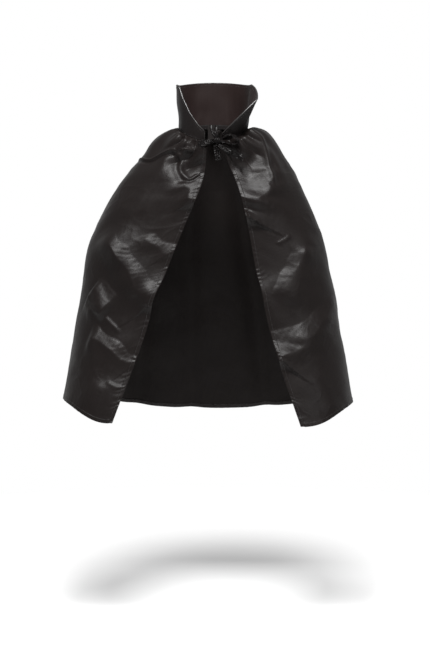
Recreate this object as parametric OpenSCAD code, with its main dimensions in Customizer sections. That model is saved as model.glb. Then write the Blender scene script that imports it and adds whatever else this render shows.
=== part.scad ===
// Child's stand-collar costume cape, in the shape it takes on a wearer with hands on hips.
// Frame: origin at the middle of the neck opening, +Z up, front towards -Y,
// +X towards the wearer's left. Millimetres.

/* [Cape] */
// Height from the neck opening down to the hem at the sides
cape_drop = 600; // [560:5:640]
// Widest spread of the hem, side to side
hem_spread = 664; // [600:2:720]
// Thickness of the cloth solids
cloth = 1.6; // [1.2:0.1:2]
// Width of the turned hem
hem_width = 9; // [7:0.5:12]

/* [Collar] */
// Height of the collar at the back
collar_height = 108; // [90:1:124]
// Outward lean of the wearer's left collar point, degrees
left_lean = 33; // [4:1:36]
// Outward lean of the wearer's right collar point, degrees
right_lean = 1; // [0:1:24]

/* [Bow] */
// Width of the tie ribbon
ribbon = 14; // [10:0.5:18]
// Length of the wearer's left bow loop
left_loop_length = 44; // [30:1:50]
// Length of the wearer's right bow loop
right_loop_length = 36; // [28:1:46]
// Length of the wearer's left ribbon tail
left_tail_length = 62; // [45:1:85]
// Length of the wearer's right ribbon tail
right_tail_length = 36; // [28:1:60]

/* [Hidden] */

LEFT = 1;
RIGHT = -1;
wide = hem_spread / 664;
tall = cape_drop / 600;

// Distances along the cloth, from the neck seam, at which the profile lines have their points
stations = [0, 50, 110, 200, 330, 500, 700];
hem_at = stations[len(stations) - 1];

// Profile lines, one point for each station: [outward from the middle, depth, height].
// The flank line runs over the shoulder and elbow, the edge line down the front opening.
left_flank = [[78, 0, 18], [124, 0, 8], [160, 0, -38], [204, 0, -116],
              [253, 0, -236], [287, 0, -403], [321, 0, -600]];
right_flank = [[76, 0, 17], [122, 0, 1], [162, 0, -44], [218, 0, -115],
               [277, 0, -228], [310, 0, -395], [343, 0, -592]];
left_edge = [[14, -76, -8], [32, -95, -51], [54, -107, -107], [77, -118, -193],
             [101, -131, -321], [140, -158, -478], [193, -205, -636]];
right_edge = [[13, -76, -8], [16, -93, -55], [27, -107, -112], [62, -117, -194],
              [109, -131, -314], [163, -158, -473], [221, -205, -628]];
spine_line = [[0, 72, 28], [0, 88, -19], [0, 102, -77], [0, 118, -166],
              [0, 138, -294], [0, 164, -462], [0, 196, -645]];

// Share of the way from the centre back to the front edge at which the flank line lies
flank_at = 0.6;
// Roundness of the cape's cross-section: 1 is an ellipse, less is squarer
squareness = 0.85;
// Where the swinging front and back panels start below the neck seam
fold_top = 60;
// Share of the hem that swings with each back panel, and with each front panel
back_share = 0.54;
front_share = 0.27;
// Clear distance between panels that move apart, and between pieces sewn together
panel_gap = 4.5;
seam = 0.3;
// Cloth length of each front quarter at the neck and at the hem, for hem widths in shares
front_quarter = [105, 265];

steps_down = 14;
steps_round = 9;
edge_start = 125;
front_start = 190;

// Collar layers, each from its inner to its outer face, measured from the collar's middle
outer_layer = [0.8, 1.8];
core_layer = [-0.5, 0.5];
facing_layer = [-1.8, -0.8];
// Outward lean of the collar at the back, degrees
back_lean = 4;
// Shares round the cape between which the lean changes to that of the collar's points
lean_from = 0.58;
lean_to = 0.8;
// Height of the collar's edge at shares round the cape, as shares of the collar's height
left_rise = [[0.62, 0.95], [0.7, 0.915], [0.8, 0.84], [0.9, 0.465], [1, 0.11]];
right_rise = [[0.7, 0.95], [0.76, 0.73], [0.81, 0.615], [0.85, 0.5], [0.91, 0.36], [1, 0.15]];
// Share round the cape at which the folding wings start
wing_at = 0.64;
wing_gap = 3.2;
stand_steps = 30;
wing_steps = 10;

knot_at = [9, -95, -10];
knot_radius = 8.5;
knot_width = 13;
ribbon_thick = 0.8;

black_satin = [0.11, 0.11, 0.12];
black_lining = [0.16, 0.14, 0.14];
white_felt = [0.9, 0.9, 0.88];

// ---------- curves and surfaces ----------

function span(s, i = 0) = i >= len(stations) - 2 || s < stations[i + 1] ? i : span(s, i + 1);

function slope(line, i) =
    let (a = max(i - 1, 0), b = min(i + 1, len(line) - 1))
    (line[b] - line[a]) / (stations[b] - stations[a]);

// The point of a profile line at cloth distance s: a smooth curve through its points
function along(line, s) =
    let (i = span(s), h = stations[i + 1] - stations[i], t = (s - stations[i]) / h,
         p = (2 * t ^ 3 - 3 * t ^ 2 + 1) * line[i] + (3 * t ^ 2 - 2 * t ^ 3) * line[i + 1]
             + h * (t ^ 3 - 2 * t ^ 2 + t) * slope(line, i)
             + h * (t ^ 3 - t ^ 2) * slope(line, i + 1))
    [p.x * wide, p.y, p.z * tall];

function mix(a, b, t) = a + (b - a) * t;

function ease(t) = let (c = min(max(t, 0), 1)) c * c * (3 - 2 * c);

// The middle of the cloth: q runs from 0 at the centre back to 1 at the wearer's left
// front edge and -1 at the right one, s down the cloth from the neck seam
function cape(q, s) =
    let (side = q < 0 ? RIGHT : LEFT,
         flank = along(side > 0 ? left_flank : right_flank, s),
         edge = along(side > 0 ? left_edge : right_edge, s),
         spine = along(spine_line, s),
         share = min(abs(q), 1),
         behind = share < flank_at,
         a = behind ? 90 * share / flank_at : 90 * (share - flank_at) / (1 - flank_at))
    behind
        ? [side * flank.x * sin(a) ^ squareness, spine.y * cos(a) ^ squareness,
           mix(spine.z, flank.z, sin(a) ^ 2)]
        : [side * mix(edge.x, flank.x, cos(a) ^ squareness), edge.y * sin(a) ^ squareness,
           mix(flank.z, edge.z, sin(a) ^ 2)];

// The outward horizontal direction at the neck seam
function outward(q) =
    let (d = 0.01, a = cape(max(q - d, -1), 0), b = cape(min(q + d, 1), 0))
    unit([a.y - b.y, b.x - a.x, 0]);

function lean(q) =
    let (t = min(max((abs(q) - lean_from) / (lean_to - lean_from), 0), 1))
    mix(back_lean, q < 0 ? right_lean : left_lean, t ^ 2);

// The middle of the collar: h is the distance up from the neck seam
function collar(q, h) = cape(q, 0) + h * (cos(lean(q)) * [0, 0, 1] + sin(lean(q)) * outward(q));

function collar_top(q) = collar_height * lookup(abs(q), q < 0 ? right_rise : left_rise);

// The fold line between the collar's stand and its wings
function fold_line(q) = collar_height * min((1 - abs(q)) / (1 - wing_at), 1);

// Panel boundaries, as shares round the cape at cloth distance s
function below_fold(s) = max(s - fold_top, 0) / (hem_at - fold_top);
function gap_share(s) = (1 - flank_at) * panel_gap / mix(front_quarter[0], front_quarter[1], s / hem_at);
function back_limit(s) = back_share * below_fold(s);
function front_limit(s) = 1 - front_share * below_fold(s);
function edge_hem(s, width = hem_width) =
    1 - (1 - flank_at) * width / mix(front_quarter[0], front_quarter[1], s / hem_at);

// A grid of cape points between two boundary functions of s
function cape_grid(side, from, to, s0, s1, rows, columns) =
    [for (i = [0:rows]) let (s = mix(s0, s1, i / rows))
        [for (j = [0:columns]) cape(side * mix(from(s), to(s), j / columns), s)]];

// A grid of collar points between two height functions of q, the upper one first
function collar_grid(q0, q1, upper, lower, rows, columns) =
    [for (i = [0:rows])
        [for (j = [0:columns]) let (q = mix(q0, q1, j / columns))
            collar(q, mix(upper(q), lower(q), i / rows))]];

// ---------- cloth solids ----------

function unit(v) = v / norm(v);

function grid_normal(g, i, j) =
    unit(cross(g[i][min(j + 1, len(g[0]) - 1)] - g[i][max(j - 1, 0)],
               g[min(i + 1, len(g) - 1)][j] - g[max(i - 1, 0)][j]));

// A closed sheet over a grid of points, from offset low to offset high along its normal
module sheet(g, low = -cloth / 2, high = cloth / 2) {
    m = len(g) - 1;
    n = len(g[0]) - 1;
    face = (m + 1) * (n + 1);
    function id(i, j) = i * (n + 1) + j;
    normals = [for (i = [0:m]) [for (j = [0:n]) grid_normal(g, i, j)]];
    points = [for (o = [high, low]) for (i = [0:m]) for (j = [0:n]) g[i][j] + o * normals[i][j]];
    rim = concat([for (j = [0:n - 1]) id(0, j)], [for (i = [0:m - 1]) id(i, n)],
                 [for (j = [n:-1:1]) id(m, j)], [for (i = [m:-1:1]) id(i, 0)]);
    faces = concat(
        [for (i = [0:m - 1]) for (j = [0:n - 1]) for (t = [
            [id(i, j), id(i + 1, j), id(i + 1, j + 1)], [id(i, j), id(i + 1, j + 1), id(i, j + 1)],
            [face + id(i, j), face + id(i + 1, j + 1), face + id(i + 1, j)],
            [face + id(i, j), face + id(i, j + 1), face + id(i + 1, j + 1)]]) t],
        [for (k = [0:len(rim) - 1]) let (a = rim[k], b = rim[(k + 1) % len(rim)])
            for (t = [[a, b, face + b], [a, face + b, face + a]]) t]);
    polyhedron(points, faces);
}

// ---------- cape panels and hems ----------

module front_panel(side) {
    color(black_satin)
        sheet(cape_grid(side, function(s) front_limit(s) + gap_share(s),
                        function(s) edge_hem(s, hem_width + seam),
                        front_start, hem_at - hem_width - seam, steps_down, 4));
}

module front_hem(side) {
    inner = function(s) max(edge_hem(s), front_limit(s) + gap_share(s));
    color(black_satin) {
        sheet(cape_grid(side, inner, function(s) 1, edge_start, hem_at - hem_width, steps_down, 1),
              -cloth * 0.7, cloth * 0.7);
        sheet(cape_grid(side, function(s) front_limit(s) + gap_share(s), function(s) 1,
                        hem_at - hem_width, hem_at, 1, 6), -cloth * 0.7, cloth * 0.7);
    }
}

module shoulder_panel(side) {
    color(black_satin)
        sheet(cape_grid(side, function(s) max(back_limit(s) + gap_share(s), 0.002),
                        function(s) front_limit(s), 1.5, hem_at - hem_width - seam, steps_down + 6, 16));
}

module shoulder_hem(side) {
    color(black_satin)
        sheet(cape_grid(side, function(s) back_limit(s) + gap_share(s), function(s) front_limit(s),
                        hem_at - hem_width, hem_at, 1, 8), -cloth * 0.7, cloth * 0.7);
}

module back_panel(side) {
    color(black_satin)
        sheet(cape_grid(side, function(s) 0.002, function(s) back_limit(s),
                        fold_top + 30, hem_at - hem_width - seam, steps_down, steps_round));
}

module back_hem(side) {
    color(black_satin)
        sheet(cape_grid(side, function(s) 0.002, function(s) back_limit(s),
                        hem_at - hem_width, hem_at, 1, steps_round), -cloth * 0.7, cloth * 0.7);
}

// ---------- collar ----------

// The fixed part of one collar layer, round from one front end to the other
module stand(offsets) {
    top = function(q) min(fold_line(q) - wing_gap * ease((abs(q) - 0.5) / 0.1), collar_top(q));
    sheet(collar_grid(-0.965, 0.965, top, function(q) 1, 4, stand_steps), offsets[0], offsets[1]);
}

// The folding wing of one collar layer
module wing(side, offsets) {
    ends = side > 0 ? [wing_at + 0.06, 0.985] : [-0.985, -wing_at - 0.06];
    sheet(collar_grid(ends[0], ends[1], function(q) collar_top(q),
                      function(q) fold_line(q) + wing_gap, 4, wing_steps), offsets[0], offsets[1]);
}

// ---------- neck ----------

module neck_binding() {
    height = 11;
    inset = 3;
    color(black_satin)
        sheet([for (z = [height / 2, -height / 2])
            [for (j = [0:40]) let (q = mix(-0.985, 0.985, j / 40))
                cape(q, 0) + [0, 0, z] - inset * outward(q)]], -0.5, 0.5);
}

module size_label() {
    label = [24, 36];
    color(black_lining)
        translate([-label[0] / 2, spine_line[0].y - 5, spine_line[0].z - label[1] + 5])
            cube([label[0], 0.8, label[1]]);
}

// ---------- ties and bow ----------

// A ribbon along a line of points, its width along the axis given, with a width for each point
module ribbon_strip(line, widths, across) {
    sheet([for (i = [0:len(line) - 1])
        [for (e = [-0.5, 0, 0.5]) line[i] + e * widths[i] * unit(across)]],
        -ribbon_thick / 2, ribbon_thick / 2);
}

// The stub of ribbon from the neck seam's front end to the knot
module tie_end(side) {
    start = cape(side * 0.985, 2) + [0, -6.5, -3];
    end = knot_at + [side * (knot_width / 2 + 0.5), 2.5, 0];
    line = [for (t = [0:0.25:1]) mix(start, end, t) + [0, -4 * sin(180 * t), 0]];
    color(black_satin)
        ribbon_strip(line, [for (t = [0:0.25:1]) mix(10, 8, t)], [0, 0, 1]);
}

module bow_knot() {
    half = knot_width / 2;
    color(black_satin)
        translate(knot_at)
            rotate([0, 90, 0])
                rotate_extrude($fn = 40)
                    polygon([[0, -half], [knot_radius - 2.4, -half], [knot_radius - 0.7, -half + 1.6],
                             [knot_radius, -1.5], [knot_radius, 1.5], [knot_radius - 0.7, half - 1.6],
                             [knot_radius - 2.4, half], [0, half]]);
}

// A teardrop loop of ribbon, out from the knot and back, drooping by an angle and turned by
// another so that it stands open towards the front
module bow_loop(side, length, depth, droop, turn) {
    turns = [for (a = [40:20:320]) a];
    color(black_satin)
        translate(knot_at + [side * (knot_width / 2 - 1.3), -2.5, 0])
            rotate([turn, side * droop, 0])
                ribbon_strip([for (a = turns) [side * length * (1 - cos(a)) / 2,
                                               -depth * sin(a) * (1 - cos(a)) / 2, 0]],
                             [for (a = turns) ribbon * mix(0.55, 1, ease(sin(a / 2) ^ 2 * 1.6 - 0.5))],
                             [0, 0, 1]);
}

// A ribbon tail hanging from under the knot, swung sideways by an angle
module bow_tail(side, length, swing) {
    across = [cos(swing), 0, side * sin(swing)];
    down = [side * sin(swing), 0, -cos(swing)];
    start = knot_at + [side * 4.5, -4.5, -knot_radius - 3.8];
    shares = [0:0.125:1];
    color(black_satin)
        ribbon_strip([for (t = shares) start + t * length * down
                      + [0, -13 * t - 2 * sin(360 * t), 0]],
                     [for (t = shares) mix(8, ribbon, ease(t * 2.5))], across);
}

// ---------- nodes ----------

front_panel(LEFT);  // left_front_panel
front_hem(LEFT);  // left_front_hem
shoulder_panel(LEFT);  // left_shoulder_panel
shoulder_hem(LEFT);  // left_shoulder_hem
back_panel(LEFT);  // left_back_panel
back_hem(LEFT);  // left_back_hem
front_panel(RIGHT);  // right_front_panel
front_hem(RIGHT);  // right_front_hem
shoulder_panel(RIGHT);  // right_shoulder_panel
shoulder_hem(RIGHT);  // right_shoulder_hem
back_panel(RIGHT);  // right_back_panel
back_hem(RIGHT);  // right_back_hem
color(black_satin) stand(outer_layer);  // collar_stand_outer
color(white_felt) stand(core_layer);  // collar_stand_stiffener
color(black_lining) stand(facing_layer);  // collar_stand_facing
color(black_satin) wing(LEFT, outer_layer);  // left_wing_outer
color(white_felt) wing(LEFT, core_layer);  // left_wing_stiffener
color(black_lining) wing(LEFT, facing_layer);  // left_wing_facing
color(black_satin) wing(RIGHT, outer_layer);  // right_wing_outer
color(white_felt) wing(RIGHT, core_layer);  // right_wing_stiffener
color(black_lining) wing(RIGHT, facing_layer);  // right_wing_facing
neck_binding();
size_label();
tie_end(LEFT);  // left_tie_end
tie_end(RIGHT);  // right_tie_end
bow_knot();
bow_loop(LEFT, left_loop_length, 14, -4, -75);  // left_bow_loop
bow_loop(RIGHT, right_loop_length, 11, 14, 0);  // right_bow_loop
bow_tail(LEFT, left_tail_length, 62);  // left_bow_tail
bow_tail(RIGHT, right_tail_length, -14);  // right_bow_tail
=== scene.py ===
"""Looks for the child's black satin costume cape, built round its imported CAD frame."""

import math

import bpy
import numpy as np
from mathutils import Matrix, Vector


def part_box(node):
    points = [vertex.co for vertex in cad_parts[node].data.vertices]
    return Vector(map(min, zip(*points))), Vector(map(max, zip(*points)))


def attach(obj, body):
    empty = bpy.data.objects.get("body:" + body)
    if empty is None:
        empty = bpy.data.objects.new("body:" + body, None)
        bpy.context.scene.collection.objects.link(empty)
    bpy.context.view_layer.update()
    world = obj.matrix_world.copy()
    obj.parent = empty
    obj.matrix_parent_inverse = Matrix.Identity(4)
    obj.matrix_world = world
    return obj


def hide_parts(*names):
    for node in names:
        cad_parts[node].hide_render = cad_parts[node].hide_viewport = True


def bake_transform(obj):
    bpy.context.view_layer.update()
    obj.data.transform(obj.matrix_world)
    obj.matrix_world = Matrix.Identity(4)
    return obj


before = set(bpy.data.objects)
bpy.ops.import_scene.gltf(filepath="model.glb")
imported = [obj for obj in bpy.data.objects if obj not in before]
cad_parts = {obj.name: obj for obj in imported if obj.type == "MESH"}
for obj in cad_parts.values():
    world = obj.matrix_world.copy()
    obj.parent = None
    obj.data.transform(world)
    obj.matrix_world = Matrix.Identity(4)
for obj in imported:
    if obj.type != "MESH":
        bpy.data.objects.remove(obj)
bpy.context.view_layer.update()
MM = 0.001

# ------------------------------------------------------------------ base shape, in millimetres
# The same profile lines as the CAD source: outward, depth and height at each station down the cloth.
STATIONS = np.array([0, 50, 110, 200, 330, 500, 700], float)
LENGTH = STATIONS[-1]
FLANK_AT = 0.6
SQUARENESS = 0.85
PROFILES = {
    "left_flank": [
        (78, 0, 18), (124, 0, 8), (160, 0, -38), (204, 0, -116), (253, 0, -236), (287, 0, -403),
        (321, 0, -600),
    ],
    "right_flank": [
        (76, 0, 17), (122, 0, 1), (162, 0, -44), (218, 0, -115), (277, 0, -228), (310, 0, -395),
        (343, 0, -592),
    ],
    "left_edge": [
        (14, -76, -8), (32, -95, -51), (54, -107, -107), (77, -118, -193), (101, -131, -321),
        (140, -158, -478), (193, -205, -636),
    ],
    "right_edge": [
        (13, -76, -8), (16, -93, -55), (27, -107, -112), (62, -117, -194), (109, -131, -314),
        (163, -158, -473), (221, -205, -628),
    ],
    "spine": [
        (0, 72, 28), (0, 88, -19), (0, 102, -77), (0, 118, -166), (0, 138, -294), (0, 164, -462),
        (0, 196, -645),
    ],
}
PROFILES = {k: np.array(v, float) for k, v in PROFILES.items()}


def slopes(line):
    out = np.zeros_like(line)
    for i in range(len(line)):
        a, b = max(i - 1, 0), min(i + 1, len(line) - 1)
        out[i] = (line[b] - line[a]) / (STATIONS[b] - STATIONS[a])
    return out


SLOPES = {k: slopes(v) for k, v in PROFILES.items()}


def along(name, s):
    i = np.clip(np.searchsorted(STATIONS, s, side="right") - 1, 0, len(STATIONS) - 2)
    h = STATIONS[i + 1] - STATIONS[i]
    t = ((s - STATIONS[i]) / h)[..., None]
    h = h[..., None]
    v, m = PROFILES[name], SLOPES[name]
    return (
        (2 * t**3 - 3 * t**2 + 1) * v[i]
        + (3 * t**2 - 2 * t**3) * v[i + 1]
        + h * (t**3 - 2 * t**2 + t) * m[i]
        + h * (t**3 - t**2) * m[i + 1]
    )


def cape(q, s):
    """The cape's middle surface: q is 0 at the centre back, 1 at the left front edge and -1 at the right."""
    q, s = np.broadcast_arrays(np.asarray(q, float), np.asarray(s, float))
    side = np.where(q < 0, -1.0, 1.0)
    share = np.minimum(np.abs(q), 1)
    left = (side > 0)[..., None]
    flank = np.where(left, along("left_flank", s), along("right_flank", s))
    edge = np.where(left, along("left_edge", s), along("right_edge", s))
    spine = along("spine", s)
    behind = share < FLANK_AT
    a = np.radians(np.where(behind, 90 * share / FLANK_AT, 90 * (share - FLANK_AT) / (1 - FLANK_AT)))
    sa, ca = np.clip(np.sin(a), 0, 1), np.clip(np.cos(a), 0, 1)
    front_x = edge[..., 0] + (flank[..., 0] - edge[..., 0]) * ca**SQUARENESS
    x = np.where(behind, flank[..., 0] * sa**SQUARENESS, front_x)
    y = np.where(behind, spine[..., 1] * ca**SQUARENESS, edge[..., 1] * sa**SQUARENESS)
    high, low = np.where(behind, spine[..., 2], flank[..., 2]), np.where(behind, flank[..., 2], edge[..., 2])
    z = high + (low - high) * sa**2
    return np.stack([side * x, y, z], -1)


def ease(t):
    t = np.clip(t, 0, 1)
    return t * t * (3 - 2 * t)


def turns(count):
    """Angles spaced evenly round a full turn."""
    return np.linspace(0, 2 * math.pi, count, endpoint=False)


def unit(v):
    return v / np.maximum(np.linalg.norm(v, axis=-1, keepdims=True), 1e-9)


def grid_normals(points):
    """Outward normals of a grid whose rows run down and whose columns run round towards the left front."""
    down = np.gradient(points, axis=0)
    across = np.gradient(points, axis=1)
    return unit(np.cross(across, down))


def rows_at(grid, at):
    """Catmull-Rom samples of a grid's first axis at fractional indices."""
    n = len(grid)
    i = np.clip(np.floor(at).astype(int), 0, n - 2)
    t = (at - i).reshape((-1,) + (1,) * (grid.ndim - 1))
    a, b = grid[i], grid[i + 1]
    before = np.where((i > 0).reshape(t.shape), grid[np.maximum(i - 1, 0)], 2 * a - b)
    after = np.where((i < n - 2).reshape(t.shape), grid[np.minimum(i + 2, n - 1)], 2 * b - a)
    square = 2 * before - 5 * a + 4 * b - after
    cube = 3 * a - before - 3 * b + after
    return 0.5 * (2 * a + (b - before) * t + square * t**2 + cube * t**3)


def refine(grid, rows, columns):
    fine = rows_at(grid, rows)
    return np.swapaxes(rows_at(np.swapaxes(fine, 0, 1), columns), 0, 1)


def lengths(points, axis):
    """Distance along a grid's lines from their first point."""
    step = np.linalg.norm(np.diff(points, axis=axis), axis=-1)
    pad = [(0, 0)] * step.ndim
    pad[axis] = (1, 0)
    return np.pad(np.cumsum(step, axis=axis), pad)


def ripple(x, y, wavelength, seed, count=18):
    """A smooth random field with about unit height."""
    rng = np.random.default_rng(seed)
    total = np.zeros_like(np.asarray(x, float))
    for _ in range(count):
        angle, phase = rng.uniform(0, 2 * math.pi, 2)
        k = 2 * math.pi / (wavelength * rng.uniform(0.75, 1.5))
        total += np.cos(k * (x * math.cos(angle) + y * math.sin(angle)) + phase)
    return total / math.sqrt(count / 2)


# ------------------------------------------------------------------ folds, drawn on the flat cloth
# Each fold: points as (share round, distance down), width and height in millimetres, and how sharp.
FOLDS = [
    # the forearms hold the cloth out, from the elbow down to the wrist
    ([(-0.72, 285), (-0.78, 292), (-0.864, 309), (-0.939, 341), (-0.99, 372)], 34, 8, "round"),
    ([(0.72, 285), (0.79, 296), (0.87, 330), (0.93, 362), (0.99, 400)], 34, 7, "round"),
    # the fold that winds from the right shoulder to the front edge
    (
        [
            (-0.50, 123), (-0.64, 114), (-0.724, 101), (-0.777, 70), (-0.827, 51), (-0.875, 58),
            (-0.906, 80), (-0.948, 95), (-0.985, 84),
        ],
        3.6, 4.0, "lip",
    ),
    # the left side: a sharp line from the collar beside the bulge
    ([(0.76, 30), (0.787, 65), (0.811, 97), (0.836, 132), (0.85, 150)], 5, 4, "lip"),
    # the hem waves gently in front
    ([(0.93, 560), (0.88, 610), (0.86, 690)], 24, 4, "round"),
    ([(-0.92, 590), (-0.88, 640), (-0.87, 695)], 24, 4, "round"),
    # long soft folds that fall from the shoulder blades
    ([(0.10, 60), (0.10, 240), (0.12, 460), (0.13, 700)], 26, 12, "round"),
    ([(0.27, 70), (0.28, 260), (0.29, 470), (0.30, 700)], 24, 10, "round"),
    ([(0.44, 90), (0.45, 300), (0.46, 480), (0.47, 700)], 24, 7, "round"),
    ([(-0.06, 60), (-0.07, 230), (-0.05, 440), (-0.04, 700)], 24, 9, "round"),
    ([(-0.20, 70), (-0.21, 280), (-0.20, 480), (-0.19, 700)], 26, 12, "round"),
    ([(-0.37, 80), (-0.37, 260), (-0.38, 470), (-0.39, 700)], 24, 10, "round"),
    ([(-0.52, 120), (-0.53, 320), (-0.53, 500), (-0.54, 700)], 22, 5, "round"),
]

# Flat planes of cloth that tilt up to the light, each ending below in a crisp fold: the fold's points,
# the plane's width at either end of it, its tilt, and how far the cloth falls back below the fold
PLANES = [
    ([(-0.745, 296), (-0.80, 309), (-0.864, 323), (-0.939, 356), (-0.996, 391)], (24, 30), 0.30, 34),
    ([(-0.885, 247), (-0.93, 256), (-0.99, 274)], (15, 20), 0.30, 16),
    ([(-0.74, 440), (-0.80, 446), (-0.86, 449)], (64, 58), 0.22, 24),
    ([(-0.79, 519), (-0.831, 517), (-0.917, 515), (-0.996, 537)], (42, 9), 0.31, 32),
    ([(-0.76, 464), (-0.80, 460), (-0.862, 457), (-0.936, 465)], (10, 6), 0.34, 9),
    ([(0.78, 106), (0.84, 128), (0.90, 148), (0.95, 164), (1.0, 182)], (22, 98), 0.23, 30),
    ([(-0.93, 98), (-0.965, 124), (-0.998, 150)], (8, 46), 0.30, 14),
    ([(-0.875, 33), (-0.93, 36)], (15, 14), 0.42, 7),
    ([(-0.965, 50), (-0.985, 51)], (8, 8), 0.40, 6),
    ([(0.80, 292), (0.85, 320), (0.90, 352), (0.95, 392)], (28, 28), 0.26, 36),
    ([(0.66, 462), (0.79, 475), (0.864, 488), (0.934, 500), (0.998, 521)], (14, 76), 0.23, 36),
    ([(0.86, 252), (0.885, 256), (0.905, 262)], (9, 7), 0.35, 8),
    ([(-0.93, 596), (-0.955, 597), (-0.985, 598)], (6, 6), 0.35, 8),
]


def nearest(x, s, q_at, points):
    """Distance to a line drawn on the cloth, which side of it (above is positive), and how far along it."""
    line = np.array([(q_at(q, d), d) for q, d in points])
    dense = rows_at(line, np.linspace(0, len(line) - 1, 12 * len(line)))
    run = lengths(dense[None], 1)[0]
    chord = line[-1] - line[0]
    facing = 1 if chord[0] > 0 else -1
    best = np.full(x.shape, 1e9)
    signed, where = np.zeros(x.shape), np.zeros(x.shape)
    for k in range(len(dense) - 1):
        a, b = dense[k], dense[k + 1]
        d = b - a
        length = math.hypot(*d)
        t = np.clip(((x - a[0]) * d[0] + (s - a[1]) * d[1]) / length**2, 0, 1)
        px, py = x - a[0] - t * d[0], s - a[1] - t * d[1]
        dist = np.hypot(px, py)
        near = dist < best
        best = np.where(near, dist, best)
        signed = np.where(near, facing * dist * np.sign(px * d[1] - py * d[0]), signed)
        where = np.where(near, (run[k] + t * length) / run[-1], where)
    return best, signed, where


def plane_height(x, s, q_at, plane):
    points, (w0, w1), tilt, behind = plane
    best, signed, where = nearest(x, s, q_at, points)
    signed = signed + 2.2 * ripple(x, s, 46, 21, 10) + 0.35 * ripple(x, s, 15, 22, 10)
    ends_free = abs(points[0][0]) < 0.97, abs(points[-1][0]) < 0.97
    fade = (ease(where / 0.18) if ends_free[0] else 1.0) * (ease((1 - where) / 0.18) if ends_free[1] else 1.0)
    beyond = np.where((where <= 0) | (where >= 1), np.exp(-np.maximum(best - 6, 0) / 14), 1.0)
    width = w0 + (w1 - w0) * where
    rise = np.clip(1 - signed / width, 0, 1)
    rise = np.where(rise > 0.12, rise, 0.12 * (rise / 0.12) ** 2)
    fall = np.exp(-((np.maximum(-signed, 0) / behind) ** 1.5))
    uneven = 1 + 0.16 * ripple(x, s, 70, 23, 10)
    return tilt * width * np.where(signed > 0, rise, fall) * fade * beyond * uneven


def fold_height(x, s, q_at, fold):
    points, width, height, form = fold
    best, signed, where = nearest(x, s, q_at, points)
    runs_off = points[-1][1] > 690 or abs(points[-1][0]) > 0.97
    fade = ease(where / 0.22) * ease((1 - where) / 0.22 + (0.9 if runs_off else 0))
    if form == "round":
        shape = np.exp(-((best / width) ** 2))
    else:
        ditch = np.exp(-(((signed + 2.1 * width) / (1.3 * width)) ** 2))
        shape = np.exp(-((signed / width) ** 2)) - 0.45 * ditch
    return height * fade * shape


def gathers(q, s):
    """The neck gathers: tight pleats at the seam that open into wider folds, and puff over it."""
    wander = 0.012 * np.sin(9 * q + 1) + 0.008 * np.sin(23 * q + 2)
    tight = np.cos(2 * math.pi * 9 * (q + wander)) * np.exp(-s / 48)
    wide = np.cos(2 * math.pi * 5 * (q + 0.5 * wander) + 0.8) * np.exp(-(((s - 55) / 60) ** 2))
    broad = np.cos(2 * math.pi * 3.5 * q + 0.4) * np.exp(-(((s - 120) / 90) ** 2))
    strength = 0.75 + 0.35 * np.cos(5 * q + 0.5)
    opening = ease(s / 9)
    # the cloth stands out over the seam, hangs straight, and meets the line of the cape again lower down
    puff = 16 * ease(s / 17) * (1 - ease((s - 18) / 50)) * (0.85 + 0.2 * np.cos(7 * q + 2))
    puff *= 0.3 + 0.7 * ease((np.abs(q) - 0.62) / 0.16)
    return opening * strength * (8.5 * tight + 6.0 * wide + 2.2 * broad) + puff


# ------------------------------------------------------------------ drape
def capsule(a, b, r, around=20, along_it=10):
    a, b = np.array(a, float), np.array(b, float)
    axis = unit(b - a)
    side = unit(np.cross(axis, (0.31, 0.2, 0.93)))
    up = np.cross(axis, side)
    rings = [(a + axis * r * -math.cos(t), r * math.sin(t)) for t in np.linspace(0.12, math.pi / 2, 6)]
    rings += [(a + (b - a) * t, r) for t in np.linspace(0, 1, along_it)[1:-1]]
    rings += [(b + axis * r * math.sin(t), r * math.cos(t)) for t in np.linspace(0, math.pi / 2 - 0.12, 6)]
    turn = turns(around)
    points = np.array([[c + rr * (side * math.cos(t) + up * math.sin(t)) for t in turn] for c, rr in rings])
    return points


def tube_faces(rings, around):
    out = []
    for i in range(rings - 1):
        for j in range(around):
            k = (j + 1) % around
            out.append((i * around + j, i * around + k, (i + 1) * around + k, (i + 1) * around + j))
    out.append(tuple(reversed(range(around))))
    out.append(tuple((rings - 1) * around + j for j in range(around)))
    return out


# What holds the cloth out while it is draped, a little inside the finished surface
FORM = [
    ((-112, 4, -36), (112, 4, -36), 36),
    ((118, 4, -56), (216, -14, -248), 27),
    ((-120, 4, -58), (-238, -14, -244), 28),
    ((216, -18, -250), (112, -118, -352), 25),
    ((-238, -18, -246), (-126, -124, -356), 26),
    ((-60, 6, -70), (-60, 0, -620), 88),
    ((60, 6, -70), (60, 0, -620), 88),
]


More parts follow.
